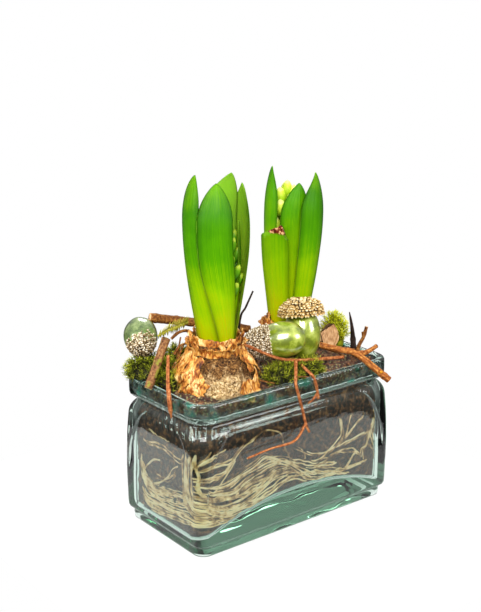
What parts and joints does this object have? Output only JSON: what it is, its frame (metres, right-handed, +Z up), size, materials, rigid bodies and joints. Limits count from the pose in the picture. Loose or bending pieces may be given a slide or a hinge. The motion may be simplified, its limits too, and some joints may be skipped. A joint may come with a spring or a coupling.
{
  "type": "hyacinth flower",
  "caption": "Hyacinth bulbs in leaf and green bud, forced in a rectangular pressed-glass vase of soil with roots behind the glass, dressed with moss, acorns and twigs.",
  "frame": {"origin": "centre of the vase's flat base, on the surface that it stands on", "axes": "+Z up; X along the vase's long side, with the plant that is nearer the front corner towards -X; the long face seen in the picture looks towards -Y"},
  "size_m": [0.1668, 0.1011, 0.23],
  "materials": {
    "glass": "thick pressed glass with a green tint, glossy",
    "soil": "dark crumbly potting soil, matt",
    "bulb_tunic": "papery tan bulb tunic with dark cracks, matt to satin",
    "leaf": "fresh green leaf, satin, with fine lengthwise veins",
    "flower_buds": "closed yellow-green flower buds, satin",
    "acorn_nut": "pearly green lacquer, glossy",
    "acorn_cap": "rough grey-brown scaly acorn cap, matt",
    "moss": "soft green moss, matt",
    "roots": "cream roots, satin",
    "twig": "reddish-brown bark, matt, paler at the cut ends",
    "dark_twig": "near-black bark, matt",
    "dry_leaf": "beige dry leaf, matt"
  },
  "bodies": {
    "root": {"vase": "glass", "bulb_front": "bulb_tunic", "leaf_front_1": "leaf", "leaf_front_2": "leaf", "leaf_front_3": "leaf", "leaf_front_4": "leaf", "leaf_front_5": "leaf", "spike_front": "flower_buds", "bulb_back": "bulb_tunic", "leaf_back_1": "leaf", "leaf_back_2": "leaf", "leaf_back_3": "leaf", "leaf_back_4": "leaf", "leaf_back_5": "leaf", "spike_back": "flower_buds", "acorn_left": "acorn_nut", "cap_left": "acorn_cap", "acorn_middle": "acorn_nut", "cap_middle": "acorn_cap", "acorn_right": "acorn_nut", "cap_right": "acorn_cap", "twig_left_thick": "twig", "twig_left_thin": "twig", "twig_back": "twig", "twig_black_bent": "dark_twig", "twig_red": "twig", "twig_red_short": "twig", "twig_forked": "twig", "twig_pointed": "dark_twig", "twig_small_fork": "twig", "dry_leaf": "dry_leaf", "roots_front": "roots", "roots_back": "roots", "soil": "soil", "moss_left": "moss", "moss_front": "moss", "moss_right": "moss", "moss_back": "moss"}
  },
  "joints": []
}
